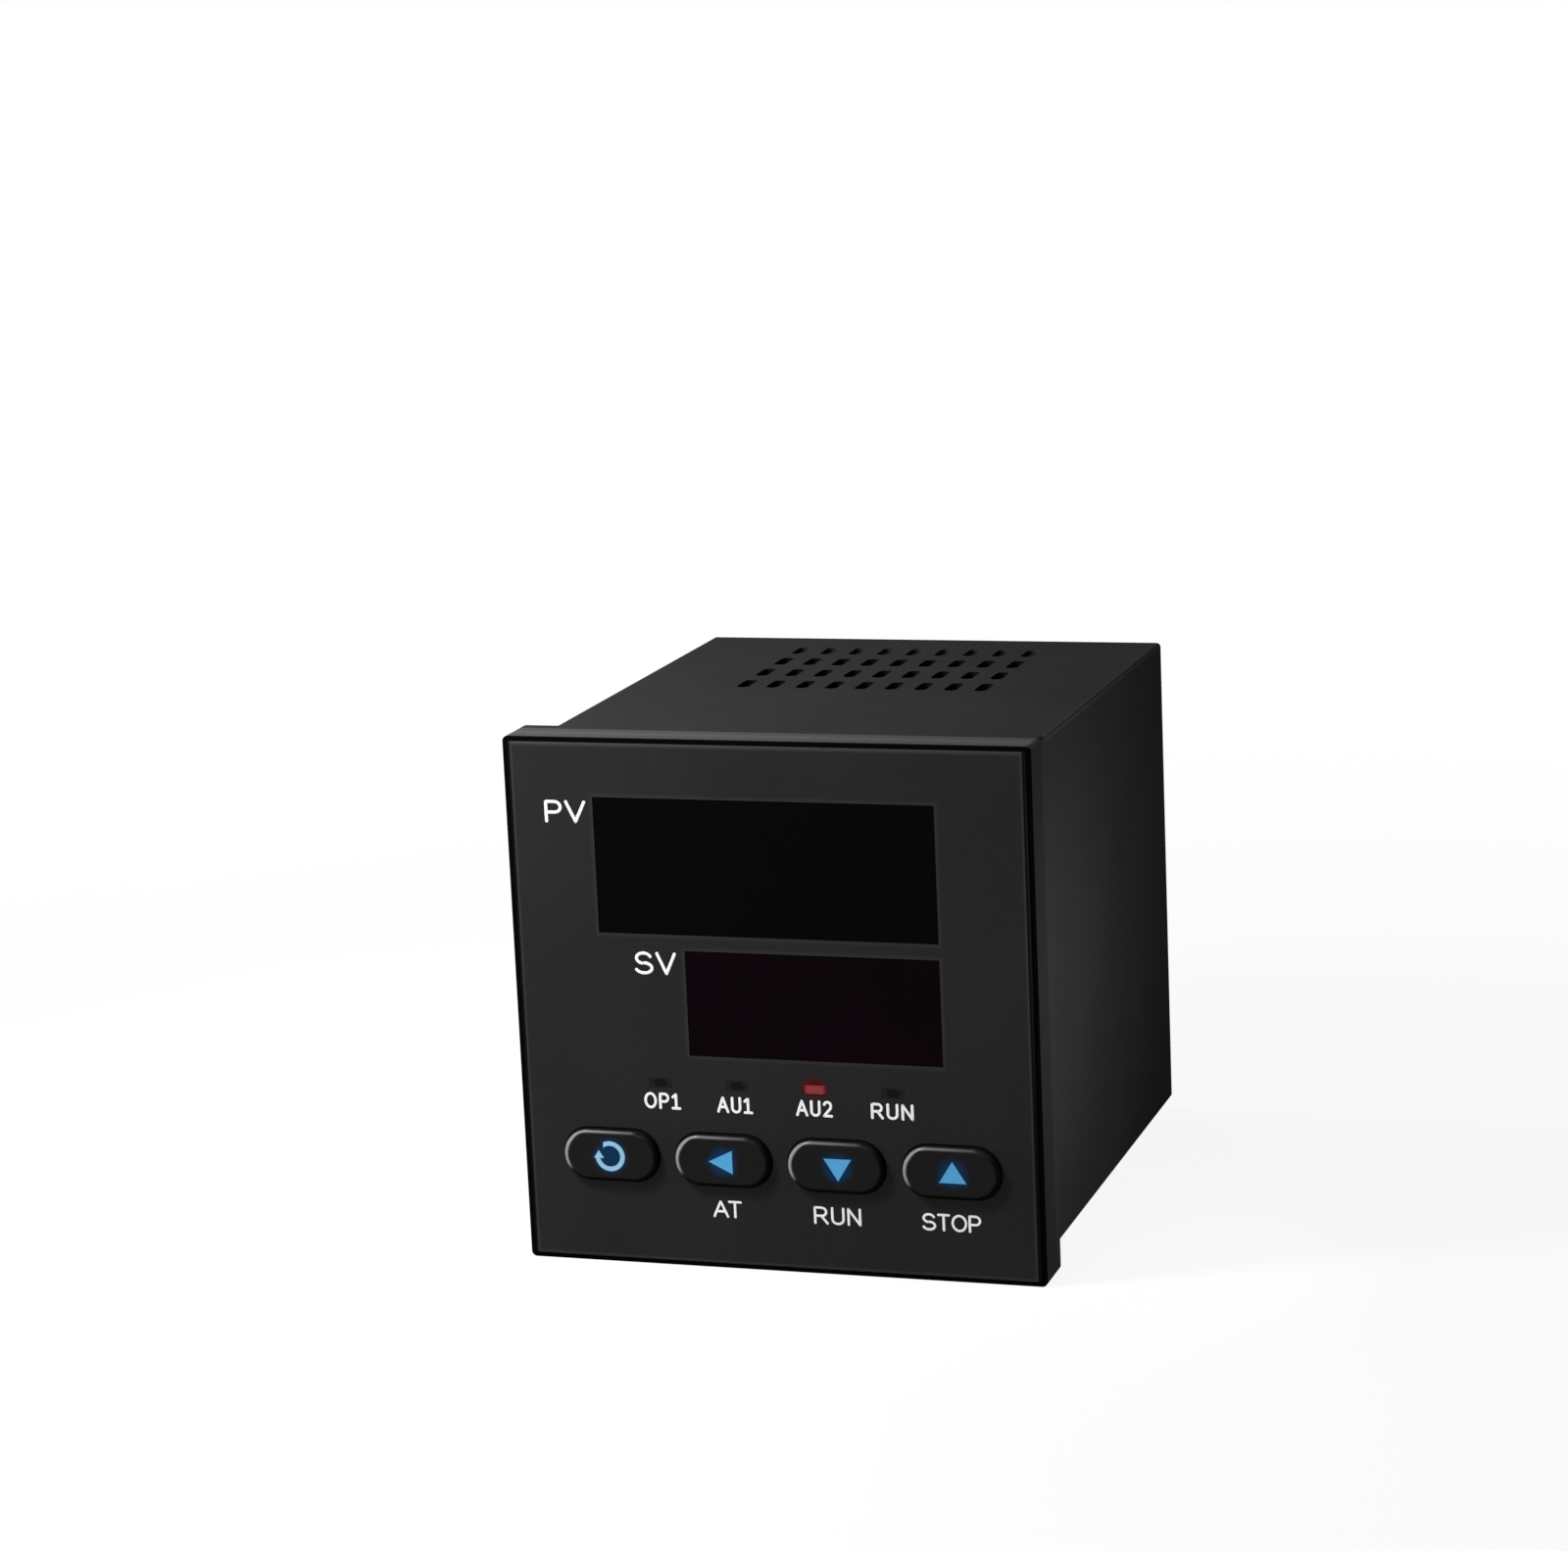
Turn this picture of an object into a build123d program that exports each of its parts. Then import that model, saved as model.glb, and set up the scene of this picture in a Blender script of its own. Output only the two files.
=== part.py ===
from build123d import *
import os

# Panel temperature controller, sizes in millimetres.
# X runs to the right of the front face, Y to the rear and Z up.
# The origin is the centre of the panel opening, in the plane of the panel's front.

# Front frame
bezel_size = 96.0
bezel_depth = 7.5
corner_radius = 1.0
rim_width = 0.8
rim_setback = 0.35
rim_round = 0.3
band_wall = 2.2
front_wall = 2.0
skirt_wall = 1.8
skirt_reach = 8.0
skirt_clearance = 0.2

# Face plate
plate_thickness = 1.2
plate_clearance = 0.1
plate_edge = 0.3

# Case
flange_overhang = 2.25
case_wall = 2.0
case_depth = 100.0
case_corner_radius = 0.8
flange_depth = 2.5

# Air slots in the top and bottom of the case
vent_length = 7.2
vent_width = 2.4
vent_pitch = 5.76
vent_columns = 9
vent_rows = 3
vent_row_pitch = 11.4
vent_first_row = 52.8
blind_vent_depth = 0.7

# Windows and their lenses
windows_top_margin = 9.65
windows_right_margin = 16.4
pv_window_left_margin = 15.6
sv_window_width = 46.4
sv_window_height = 19.1
window_gap = 2.8
lens_gap = 0.1
lens_lip = 0.9
lens_lip_thickness = 1.2
lens_setback = 0.1
window_ledge = 0.8

# Display modules behind the windows
display_thickness = 8.0
display_gap = 0.2
digit_recess = 0.4

# Lamps
lamp_count = 4
lamp_pitch = 14.3
lamp_row_rise = 33.0
lamp_window_gap = 5.15
lamp_slot_width = 4.1
lamp_slot_height = 1.7
lamp_clearance = 0.1
lamp_setback = 0.05
lamp_foot_width = 5.4
lamp_foot_height = 3.0
lamp_foot_depth = 2.0

# Keys
key_count = 4
key_left_margin = 6.975
key_right_margin = 6.575
key_gap = 3.15
key_row_rise = 19.3
key_width = 9.45
key_proud = 1.3
key_round = 0.9
key_clearance = 0.25
key_wall = 1.3
key_lip = 1.0
key_lip_thickness = 0.8
key_lip_gap = 0.2
key_stem_radius = 2.4
key_stem_length = 1.2

# Key switches
switch_size = 6.0
switch_thickness = 3.5
plunger_radius = 1.7
plunger_clearance = 0.1
plunger_entry = 0.6
plunger_bore_depth = 2.4

# Circuit boards
board_thickness = 1.6
display_board_clearance = 0.45
board_gap = 0.3
board_inset = 10.75
board_edge_gap = 0.4
board_rear = 86.5
contact_tongue_start = 76.5
contact_tongue_inset = 4.35
guide_clearance = 0.2
rail_width = 1.4
rail_height = 2.6
rail_start = 10.0
rail_end = 76.0

# Screws that hold the display board to the front frame
boss_radius = 3.0
boss_inset = 4.25
board_screw_radius = 1.05
board_screw_clearance = 0.1
board_screw_depth = 6.0
board_screw_head_radius = 2.3
board_screw_head_height = 1.6

# Rear cover and its two screws
cover_front = 89.0
cover_floor = 3.0
cover_clearance = 0.2
cover_rise = 6.8
centre_panel_screw_gap = 1.95
centre_panel_wall = 1.8
centre_panel_round = 2.0
post_width = 7.0
post_height = 6.5
post_length = 8.5
post_hole_offset = 3.2
cover_screw_radius = 1.15
cover_screw_clearance = 0.1
cover_screw_length = 8.0
cover_screw_head_radius = 2.6
cover_screw_head_height = 1.9

# Terminal blocks
block_inner_wall = 1.6
block_lip = 1.0
block_lip_thickness = 1.4
block_clearance = 0.1
barrier_thickness = 1.2
barrier_height = 6.8

# Terminals
terminal_pitch = 8.0
terminal_end_margin = 2.0
terminal_side_gap = 0.3
terminal_plate_length = 12.0
terminal_thickness = 0.7
tail_width = 3.0
tail_length = 11.5
tail_bow = 0.8
tail_clearance = 0.1
tail_contact_gap = 0.1
terminal_screw_inset = 6.4
terminal_screw_radius = 1.5
terminal_screw_clearance = 0.1
terminal_screw_depth = 2.3
terminal_screw_head_height = 2.5
screw_slot_width = 0.9
screw_slot_depth = 1.1
clamp_side_gap = 0.4
clamp_plate_thickness = 0.8

# Sockets that take the boards' contact edges
socket_depth = 11.0
socket_inner_wall = 1.6
socket_outer_wall = 1.9
socket_end_wall = 1.5
socket_clearance = 0.25
socket_pocket_width = 4.4

# Board headers
header_width = 2.5
header_depth = 2.6
header_length = 36.0

# Brace between the boards
brace_centre_depth = 67.0
brace_floor_gap = 3.75
brace_height = 5.0
brace_bar_depth = 3.0
brace_foot_depth = 12.0
brace_foot_thickness = 2.0

# Parts on the main board
chip_lead_thickness = 0.2
processor_size = 12.0
processor_thickness = 1.5
processor_lead = 1.6
processor_depth = 26.0
processor_height = 24.0
input_chip_length = 10.2
input_chip_width = 7.4
input_chip_thickness = 2.4
input_chip_lead = 1.5
input_chip_depth = 52.0
input_chip_height = 24.0
module_count = 3
module_pitch = 20.0
module_first_depth = 24.0
module_height_above_centre = -17.0
module_board_thickness = 1.2
module_board_height = 32.0
module_board_reach = 22.0
module_socket_length = 16.0
module_socket_depth = 5.0
module_socket_reach = 6.0
module_socket_slot_depth = 4.2
module_socket_clearance = 0.1
relay_length = 19.0
relay_width = 15.4
relay_depth = 10.2
relay_round = 0.8
module_chip_length = 10.2
module_chip_width = 7.4
module_chip_thickness = 2.4

# Parts on the power board
mains_capacitor_radius = 8.0
mains_capacitor_length = 20.0
mains_capacitor_depth = 20.0
mains_capacitor_height = 24.0
output_capacitor_radius = 4.0
output_capacitor_length = 13.0
output_capacitor_depth = 70.0
output_capacitor_height = 14.0
output_capacitor_pitch = 11.0
capacitor_count = 2
capacitor_groove_position = 2.2
capacitor_groove_radius = 0.5
rectifier_length = 15.0
rectifier_height = 12.0
rectifier_thickness = 4.6
rectifier_depth = 22.0
rectifier_height_above_centre = 2.0
fuse_radius = 2.6
fuse_length = 20.0
fuse_depth = 44.0
fuse_roof_gap = 7.75
fuse_standoff = 4.6
fuse_clip_width = 5.0
fuse_clip_thickness = 0.6
fuse_clip_clearance = 0.1
transformer_depth = 50.0
transformer_height = 13.0
core_length = 22.0
core_height = 20.0
core_thickness = 6.0
core_leg = 4.0
core_middle_leg = 6.0
core_standoff = 5.0
bobbin_clearance = 0.2
bobbin_wall = 0.8
bobbin_flange = 1.0
winding_thickness = 2.6
heat_sink_depth = 22.0
heat_sink_floor_gap = 9.75
heat_sink_top = -10.0
heat_sink_length = 20.0
heat_sink_reach = 14.0
heat_sink_base = 2.4
heat_sink_fins = 6
heat_sink_fin_thickness = 1.4
transistor_width = 10.0
transistor_body_height = 9.2
transistor_tab_height = 6.2
transistor_thickness = 4.4
transistor_tab_thickness = 1.3
transistor_lead_length = 4.0
transistor_lead_width = 1.2
transistor_lead_pitch = 2.54

# Levels along Y that follow from the sizes above
face_front = -(flange_depth + bezel_depth)
plate_back = face_front + plate_thickness
rim_front = face_front + rim_setback
wall_back = plate_back + front_wall
display_front = wall_back + display_gap
display_board_front = display_front + display_thickness
display_board_back = display_board_front + board_thickness
side_board_front = display_board_back + board_gap
cover_back = cover_front + cover_floor
terminal_top = cover_back + terminal_thickness
clamp_top = terminal_top + clamp_plate_thickness

# Widths that follow from the sizes above
case_size = bezel_size - 2 * flange_overhang
case_bore = case_size - 2 * case_wall
skirt_size = case_bore - 2 * skirt_clearance
skirt_bore = skirt_size - 2 * skirt_wall
band_bore = bezel_size - 2 * band_wall
plate_recess = bezel_size - 2 * rim_width
plate_size = plate_recess - 2 * plate_clearance
cover_size = case_bore - 2 * cover_clearance

# Front layout that follows from the face plate
lamp_height_above_centre = lamp_row_rise - plate_size / 2
key_height_above_centre = key_row_rise - plate_size / 2
key_pitch = (plate_size - key_left_margin - key_right_margin + key_gap) / key_count
key_length = key_pitch - key_gap
first_key_centre = key_left_margin + key_length / 2 - plate_size / 2
windows_right_edge = plate_size / 2 - windows_right_margin
pv_window_width = plate_size - pv_window_left_margin - windows_right_margin
pv_window_centre = windows_right_edge - pv_window_width / 2
sv_window_centre = windows_right_edge - sv_window_width / 2
sv_window_bottom = lamp_height_above_centre + lamp_window_gap
sv_window_height_above_centre = sv_window_bottom + sv_window_height / 2
pv_window_bottom = sv_window_bottom + sv_window_height + window_gap
pv_window_height = plate_size / 2 - windows_top_margin - pv_window_bottom
pv_window_height_above_centre = pv_window_bottom + pv_window_height / 2
boss_offset = skirt_bore / 2 - boss_inset

# Inner layout that follows from the case
board_offset = case_bore / 2 - board_inset
board_face = board_offset - board_thickness / 2
contact_tongue_height = case_bore - 2 * contact_tongue_inset
cover_post_centre = case_bore / 2 - post_hole_offset
terminal_count = int((cover_size - 2 * terminal_end_margin) / terminal_pitch)
terminal_inner_edge = board_face - tail_contact_gap - tail_bow - terminal_thickness
terminal_screw_offset = terminal_inner_edge + terminal_screw_inset
terminal_plate_width = terminal_pitch - barrier_thickness - 2 * terminal_side_gap
clamp_plate_size = terminal_pitch - barrier_thickness - 2 * clamp_side_gap
terminal_screw_head_radius = clamp_plate_size / 2
tail_centre = terminal_inner_edge + terminal_thickness / 2
block_inner_edge = terminal_inner_edge - block_inner_wall
centre_panel_width = 2 * (block_inner_edge - block_clearance)
centre_panel_height = 2 * (cover_post_centre - cover_screw_head_radius - centre_panel_screw_gap)
brace_low = brace_floor_gap - case_bore / 2
fuse_height = case_bore / 2 - fuse_roof_gap
heat_sink_low = heat_sink_floor_gap - case_bore / 2
heat_sink_height = heat_sink_top - heat_sink_low


def slab(outline, front, back):
    """An outline in X and Z, as seen from the front, made solid between two depths."""
    return extrude(Plane.XZ.offset(-back) * outline, back - front)


def side_plate(outline, left, right):
    """An outline in Y and Z, as seen from the side, made solid between two X positions."""
    return extrude(Plane.YZ.offset(left) * outline, right - left)


def layer(outline, bottom, top):
    """An outline in X and Y, as seen from above, made solid between two heights."""
    return extrude(Plane.XY.offset(bottom) * outline, top - bottom)


def between(low_u, high_u, low_v, high_v):
    """A rectangle given by its edges."""
    centre = Pos((low_u + high_u) / 2, (low_v + high_v) / 2)
    return centre * Rectangle(high_u - low_u, high_v - low_v)


def opposite(piece):
    """The same piece on the other side of the instrument."""
    return mirror(piece, about=Plane.YZ)


def pv_place():
    return Pos(pv_window_centre, pv_window_height_above_centre)


def sv_place():
    return Pos(sv_window_centre, sv_window_height_above_centre)


def window_openings(margin):
    """Both window outlines, grown by a margin on every side."""
    upper = Rectangle(pv_window_width + 2 * margin, pv_window_height + 2 * margin)
    lower = Rectangle(sv_window_width + 2 * margin, sv_window_height + 2 * margin)
    return pv_place() * upper + sv_place() * lower


def key_places():
    return [Pos(first_key_centre + n * key_pitch, key_height_above_centre) for n in range(key_count)]


def key_outline(margin):
    return SlotOverall(key_length + 2 * margin, key_width + 2 * margin)


def key_openings():
    return Sketch() + [place * key_outline(key_clearance) for place in key_places()]


def lamp_places():
    first = -lamp_pitch * (lamp_count - 1) / 2
    return [Pos(first + n * lamp_pitch, lamp_height_above_centre) for n in range(lamp_count)]


def lamp_openings():
    slot = Rectangle(lamp_slot_width, lamp_slot_height)
    return Sketch() + [place * slot for place in lamp_places()]


def boss_places():
    return [Pos(x, z) for x in (-boss_offset, boss_offset) for z in (-boss_offset, boss_offset)]


def terminal_heights():
    middle = (terminal_count - 1) / 2
    return [(n - middle) * terminal_pitch for n in range(terminal_count)]


def vent_outlines(rows, first_row):
    """Rows of round-ended slots seen from above."""
    slot = SlotOverall(vent_length, vent_width, rotation=90)
    middle = first_row + vent_row_pitch * (rows - 1) / 2
    grid = GridLocations(vent_pitch, vent_row_pitch, vent_columns, rows)
    return Pos(0, middle) * (Sketch() + [place * slot for place in grid])


def guide_rails():
    """Pairs of ribs in the roof and the floor that guide the two side boards."""
    root = case_bore / 2 + case_wall / 2
    tip = case_bore / 2 - rail_height
    reach = board_thickness / 2 + guide_clearance + rail_width / 2
    ribs = Sketch()
    for x in (-board_offset - reach, -board_offset + reach, board_offset - reach, board_offset + reach):
        ribs += between(x - rail_width / 2, x + rail_width / 2, tip, root)
        ribs += between(x - rail_width / 2, x + rail_width / 2, -root, -tip)
    return slab(ribs, rail_start, rail_end)


def cover_posts():
    """Two posts inside the case that take the rear cover's screws."""
    root = case_bore / 2 + case_wall / 2
    tip = case_bore / 2 - post_height
    upper = between(-post_width / 2, post_width / 2, tip, root)
    hole = Pos(0, cover_post_centre) * Circle(cover_screw_radius + cover_screw_clearance)
    posts = upper - hole
    return slab(posts + mirror(posts, about=Plane.XZ), cover_front - post_length, cover_front)


def case():
    """The sleeve behind the panel, with the flange that bears on the panel."""
    sleeve = slab(RectangleRounded(case_size, case_size, case_corner_radius), -flange_depth, case_depth)
    flange = slab(RectangleRounded(bezel_size, bezel_size, corner_radius), -flange_depth, 0)
    bore = slab(Rectangle(case_bore, case_bore), -flange_depth, case_depth)
    shell = sleeve + flange - bore + guide_rails() + cover_posts()
    pierced = vent_outlines(vent_rows, vent_first_row)
    shell -= layer(pierced, -case_size / 2, -case_bore / 2 + case_wall / 4)
    shell -= layer(pierced, case_bore / 2 - case_wall / 4, case_size / 2)
    blind = vent_outlines(1, vent_first_row + vent_rows * vent_row_pitch)
    shell -= layer(blind, case_size / 2 - blind_vent_depth, case_size / 2)
    shell -= layer(blind, -case_size / 2, -case_size / 2 + blind_vent_depth)
    return shell


def barriers():
    """Walls between neighbouring terminals of one column."""
    half = barrier_thickness / 2
    walls = Sketch()
    for n in range(terminal_count + 1):
        z = (n - terminal_count / 2) * terminal_pitch
        walls += between(block_inner_edge, cover_size / 2, z - half, z + half)
    return slab(walls, cover_front + cover_floor / 2, cover_back + barrier_height)


def terminal_cuts():
    """Tail slots and screw holes of one column of terminals."""
    slot_half = terminal_thickness / 2 + tail_clearance
    width_half = tail_width / 2 + tail_clearance
    slots = Sketch()
    holes = Sketch()
    for z in terminal_heights():
        slots += between(tail_centre - slot_half, tail_centre + slot_half, z - width_half, z + width_half)
        holes += Pos(terminal_screw_offset, z) * Circle(terminal_screw_radius + terminal_screw_clearance)
    screw_floor = cover_back - terminal_screw_depth - terminal_screw_clearance
    return slab(slots, cover_front, cover_back) + slab(holes, screw_floor, cover_back)


def terminal_block():
    """A barrier block between the cover and the case's wall, with a lip that the cover holds down."""
    half = cover_size / 2
    base = slab(between(block_inner_edge, half, -half, half), cover_front, cover_back)
    lip = between(block_inner_edge - block_lip, half, -half, half)
    base += slab(lip, cover_front, cover_front + block_lip_thickness)
    return base + barriers() - terminal_cuts()


def cover_rebate():
    """The step under one edge of the cover that takes a terminal block's lip."""
    inner = block_inner_edge - block_lip - block_clearance
    outline = between(inner, centre_panel_width / 2, -cover_size / 2, cover_size / 2)
    return slab(outline, cover_front, cover_front + block_lip_thickness + block_clearance)


def rear_cover():
    """The moulded cover between the terminal blocks, raised and hollow in its middle."""
    floor = slab(Rectangle(centre_panel_width, cover_size), cover_front, cover_back)
    panel_top = cover_back + cover_rise
    panel = slab(
        RectangleRounded(centre_panel_width, centre_panel_height, centre_panel_round),
        cover_front,
        panel_top,
    )
    hollow_width = centre_panel_width - 2 * centre_panel_wall
    hollow_height = centre_panel_height - 2 * centre_panel_wall
    hollow = slab(Rectangle(hollow_width, hollow_height), cover_front, panel_top - centre_panel_wall)
    rebate = cover_rebate()
    hole = Circle(cover_screw_radius + cover_screw_clearance)
    screw_holes = Pos(0, cover_post_centre) * hole + Pos(0, -cover_post_centre) * hole
    cover = floor + panel - hollow - rebate - opposite(rebate)
    return cover - slab(screw_holes, cover_front, cover_back)


def slotted_screw(head_radius, head_height, shank_radius, shank_length):
    """A screw whose head stands on the plane Y = 0 and whose shank runs forward from it."""
    head = slab(Circle(head_radius), 0, head_height)
    head -= slab(Rectangle(2 * head_radius, screw_slot_width), head_height - screw_slot_depth, head_height)
    return head + slab(Circle(shank_radius), -shank_length, 0)


def rear_cover_screws():
    screw = slotted_screw(
        cover_screw_head_radius, cover_screw_head_height, cover_screw_radius, cover_screw_length
    )
    return [Pos(0, cover_back, z) * screw for z in (-cover_post_centre, cover_post_centre)]


def terminals():
    """Stamped plates under the screws, each with a spring tail that meets a board's contact."""
    half = terminal_thickness / 2
    bow_centre = tail_centre + tail_bow
    bow_depth = cover_front - 2 * tail_length / 3 + terminal_thickness
    tip_depth = cover_back - tail_length
    bend_depth = cover_front - tail_length / 3 + terminal_thickness
    profile = make_face(
        Polyline(
            (tail_centre - half, cover_back),
            (tail_centre - half, bend_depth),
            (bow_centre - half, bow_depth),
            (tail_centre - half, tip_depth),
            (tail_centre + half, tip_depth),
            (bow_centre + half, bow_depth),
            (tail_centre + half, bend_depth),
            (tail_centre + half, cover_back),
            close=True,
        )
    )
    tail = layer(profile, -tail_width / 2, tail_width / 2)
    plate_end = terminal_inner_edge + terminal_plate_length
    plate_outline = between(
        terminal_inner_edge, plate_end, -terminal_plate_width / 2, terminal_plate_width / 2
    )
    plate_outline -= Pos(terminal_screw_offset, 0) * Circle(
        terminal_screw_radius + terminal_screw_clearance
    )
    terminal = slab(plate_outline, cover_back, terminal_top) + tail
    return [Pos(0, 0, z) * terminal for z in terminal_heights()]


def clamp_plates():
    """Square washers that press the wires down."""
    outline = Rectangle(clamp_plate_size, clamp_plate_size)
    outline -= Circle(terminal_screw_radius + terminal_screw_clearance)
    plate = slab(outline, terminal_top, clamp_top)
    return [Pos(terminal_screw_offset, 0, z) * plate for z in terminal_heights()]


def terminal_screws():
    length = clamp_top - cover_back + terminal_screw_depth
    screw = slotted_screw(
        terminal_screw_head_radius, terminal_screw_head_height, terminal_screw_radius, length
    )
    return [Pos(terminal_screw_offset, clamp_top, z) * screw for z in terminal_heights()]


def board_socket():
    """The housing on the cover that takes one board's contact edge and the spring tails."""
    slot_inner = board_face - socket_clearance
    slot_outer = board_offset + board_thickness / 2 + socket_clearance
    slot_half = contact_tongue_height / 2 + socket_clearance
    pocket_inner = terminal_inner_edge - tail_clearance
    body_half = slot_half + socket_end_wall
    body = between(pocket_inner - socket_inner_wall, slot_outer + socket_outer_wall, -body_half, body_half)
    body -= between(slot_inner, slot_outer, -slot_half, slot_half)
    for z in terminal_heights():
        low = z - socket_pocket_width / 2
        body -= between(pocket_inner, slot_inner, low, low + socket_pocket_width)
    return slab(body, cover_front - socket_depth, cover_front)


def bezel():
    """The moulded front frame: rim, front wall, bosses and the skirt that enters the case."""
    seat = -flange_depth
    frame = slab(RectangleRounded(bezel_size, bezel_size, corner_radius), rim_front, seat)
    frame = fillet(frame.faces().sort_by(Axis.Y)[0].edges(), rim_round)
    frame -= slab(Rectangle(plate_recess, plate_recess), rim_front, plate_back)
    frame -= slab(Rectangle(band_bore, band_bore), wall_back, seat)
    frame += slab(Rectangle(skirt_size, skirt_size), wall_back, skirt_reach)
    frame -= slab(Rectangle(skirt_bore, skirt_bore), wall_back, skirt_reach)
    bosses = Sketch() + [place * Circle(boss_radius) for place in boss_places()]
    frame += slab(bosses, wall_back, display_board_front)
    pilot = Circle(board_screw_radius + board_screw_clearance)
    pilots = Sketch() + [place * pilot for place in boss_places()]
    pilot_floor = display_board_front - board_screw_depth - board_screw_clearance
    frame -= slab(pilots, pilot_floor, display_board_front)
    lens_seat = plate_back + lens_lip_thickness
    frame -= slab(window_openings(lens_lip + lens_gap), plate_back, lens_seat)
    frame -= slab(window_openings(-window_ledge), lens_seat, wall_back)
    frame -= slab(key_openings() + lamp_openings(), plate_back, wall_back)
    return frame


def face_plate():
    """The flat front plate with its windows, key holes and lamp slots."""
    plate = slab(Rectangle(plate_size, plate_size), face_front, plate_back)
    plate = chamfer(plate.faces().sort_by(Axis.Y)[0].edges(), plate_edge)
    return plate - slab(window_openings(0) + key_openings() + lamp_openings(), face_front, plate_back)


def lens(width, height, place):
    """A smoked window: a raised pane that fills the plate's opening, and a lip behind the plate."""
    pane = Rectangle(width - 2 * lens_gap, height - 2 * lens_gap)
    lip = Rectangle(width + 2 * lens_lip, height + 2 * lens_lip)
    lens_back = plate_back + lens_lip_thickness
    return slab(place * pane, face_front + lens_setback, lens_back) + slab(place * lip, plate_back, lens_back)


def display_module(width, height, place, digits):
    """A row of digits in one block, with a shallow recess for each digit."""
    body_width = width - 2 * window_ledge - 2 * display_gap
    body_height = height - 2 * window_ledge - 2 * display_gap
    module = slab(place * Rectangle(body_width, body_height), display_front, display_board_front)
    digit_width = body_width / (digits + 1)
    digit_height = body_height - digit_width / 2
    grid = GridLocations(body_width / digits, 0, digits, 1)
    recesses = Sketch() + [spot * Rectangle(digit_width, digit_height) for spot in grid]
    return module - slab(place * recesses, display_front, display_front + digit_recess)


def lamp(place):
    """A rectangular lamp that stands on the display board and fills its slot in the plate."""
    head = Rectangle(lamp_slot_width - 2 * lamp_clearance, lamp_slot_height - 2 * lamp_clearance)
    foot = Rectangle(lamp_foot_width, lamp_foot_height)
    foot_front = display_board_front - lamp_foot_depth
    body = slab(place * head, face_front + lamp_setback, display_board_front)
    return body + slab(place * foot, foot_front, display_board_front)


def key(place):
    """A hollow moulded key with a lip behind the wall and a stem over its switch."""
    lip_front = wall_back + key_lip_gap
    lip_back = lip_front + key_lip_thickness
    crown = face_front - key_proud
    cap = slab(key_outline(0), crown, lip_back)
    cap = fillet(cap.faces().sort_by(Axis.Y)[0].edges(), key_round)
    cap += slab(key_outline(key_lip), lip_front, lip_back)
    cap -= slab(key_outline(-key_wall), crown + key_wall, lip_back)
    cap += slab(Circle(key_stem_radius), crown + key_wall / 2, lip_back + key_stem_length)
    return Pos(place.position.X, 0, place.position.Y) * cap


def plunger(place):
    """The switch's plunger, between the key's stem and the inside of the switch."""
    start = wall_back + key_lip_gap + key_lip_thickness + key_stem_length
    end = display_board_front - switch_thickness + plunger_entry
    return slab(place * Circle(plunger_radius), start, end)


def key_switches():
    front = display_board_front - switch_thickness
    body = slab(Rectangle(switch_size, switch_size), front, display_board_front)
    body -= slab(Circle(plunger_radius + plunger_clearance), front, front + plunger_bore_depth)
    return [Pos(place.position.X, 0, place.position.Y) * body for place in key_places()]


def display_board():
    size = skirt_bore - 2 * display_board_clearance
    outline = Rectangle(size, size)
    for place in boss_places():
        outline -= place * Circle(board_screw_radius + board_screw_clearance)
    return slab(outline, display_board_front, display_board_back)


def display_board_screws():
    screw = slotted_screw(
        board_screw_head_radius,
        board_screw_head_height,
        board_screw_radius,
        board_screw_depth + board_thickness,
    )
    return [Pos(place.position.X, display_board_back, place.position.Y) * screw for place in boss_places()]


def side_board_outline():
    """A side board seen from the side: a tongue into the skirt, the body and the contact tongue."""
    front_half = skirt_bore / 2 - board_edge_gap
    body_half = case_bore / 2 - board_edge_gap
    body_front = skirt_reach + board_edge_gap
    tongue_half = contact_tongue_height / 2
    outline = between(side_board_front, body_front, -front_half, front_half)
    outline += between(body_front, contact_tongue_start, -body_half, body_half)
    return outline + between(contact_tongue_start, board_rear, -tongue_half, tongue_half)


def main_board():
    return side_plate(side_board_outline(), -board_offset - board_thickness / 2, -board_face)


def power_board():
    return side_plate(side_board_outline(), board_face, board_offset + board_thickness / 2)


def board_header():
    """The strip that joins the display board to the board at the right."""
    outline = between(board_face - header_width, board_face, -header_length / 2, header_length / 2)
    return slab(outline, display_board_back, display_board_back + header_depth)


def board_brace():
    """A bar across the instrument with a foot on each side board."""
    bar = Rectangle(2 * board_face, brace_bar_depth)
    foot = Rectangle(brace_foot_thickness, brace_foot_depth)
    foot_centre = board_face - brace_foot_thickness / 2
    outline = bar + Pos(-foot_centre, 0) * foot + Pos(foot_centre, 0) * foot
    return layer(Pos(0, brace_centre_depth) * outline, brace_low, brace_low + brace_height)


def chip(length, height, thickness, lead):
    """A chip lying on the plane X = 0, with its rows of leads as one thin frame."""
    body = side_plate(Rectangle(length, height), chip_lead_thickness, thickness)
    return body + side_plate(Rectangle(length + 2 * lead, height), 0, 2 * chip_lead_thickness)


def processor():
    body = chip(processor_size, processor_size, processor_thickness, processor_lead)
    leads = Rectangle(processor_size, processor_size + 2 * processor_lead)
    body += side_plate(leads, 0, 2 * chip_lead_thickness)
    return Pos(-board_face, processor_depth, processor_height) * body


def input_chip():
    body = chip(input_chip_length, input_chip_width, input_chip_thickness, input_chip_lead)
    return Pos(-board_face, input_chip_depth, input_chip_height) * body


def module_depth(number):
    return module_first_depth + number * module_pitch


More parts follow.
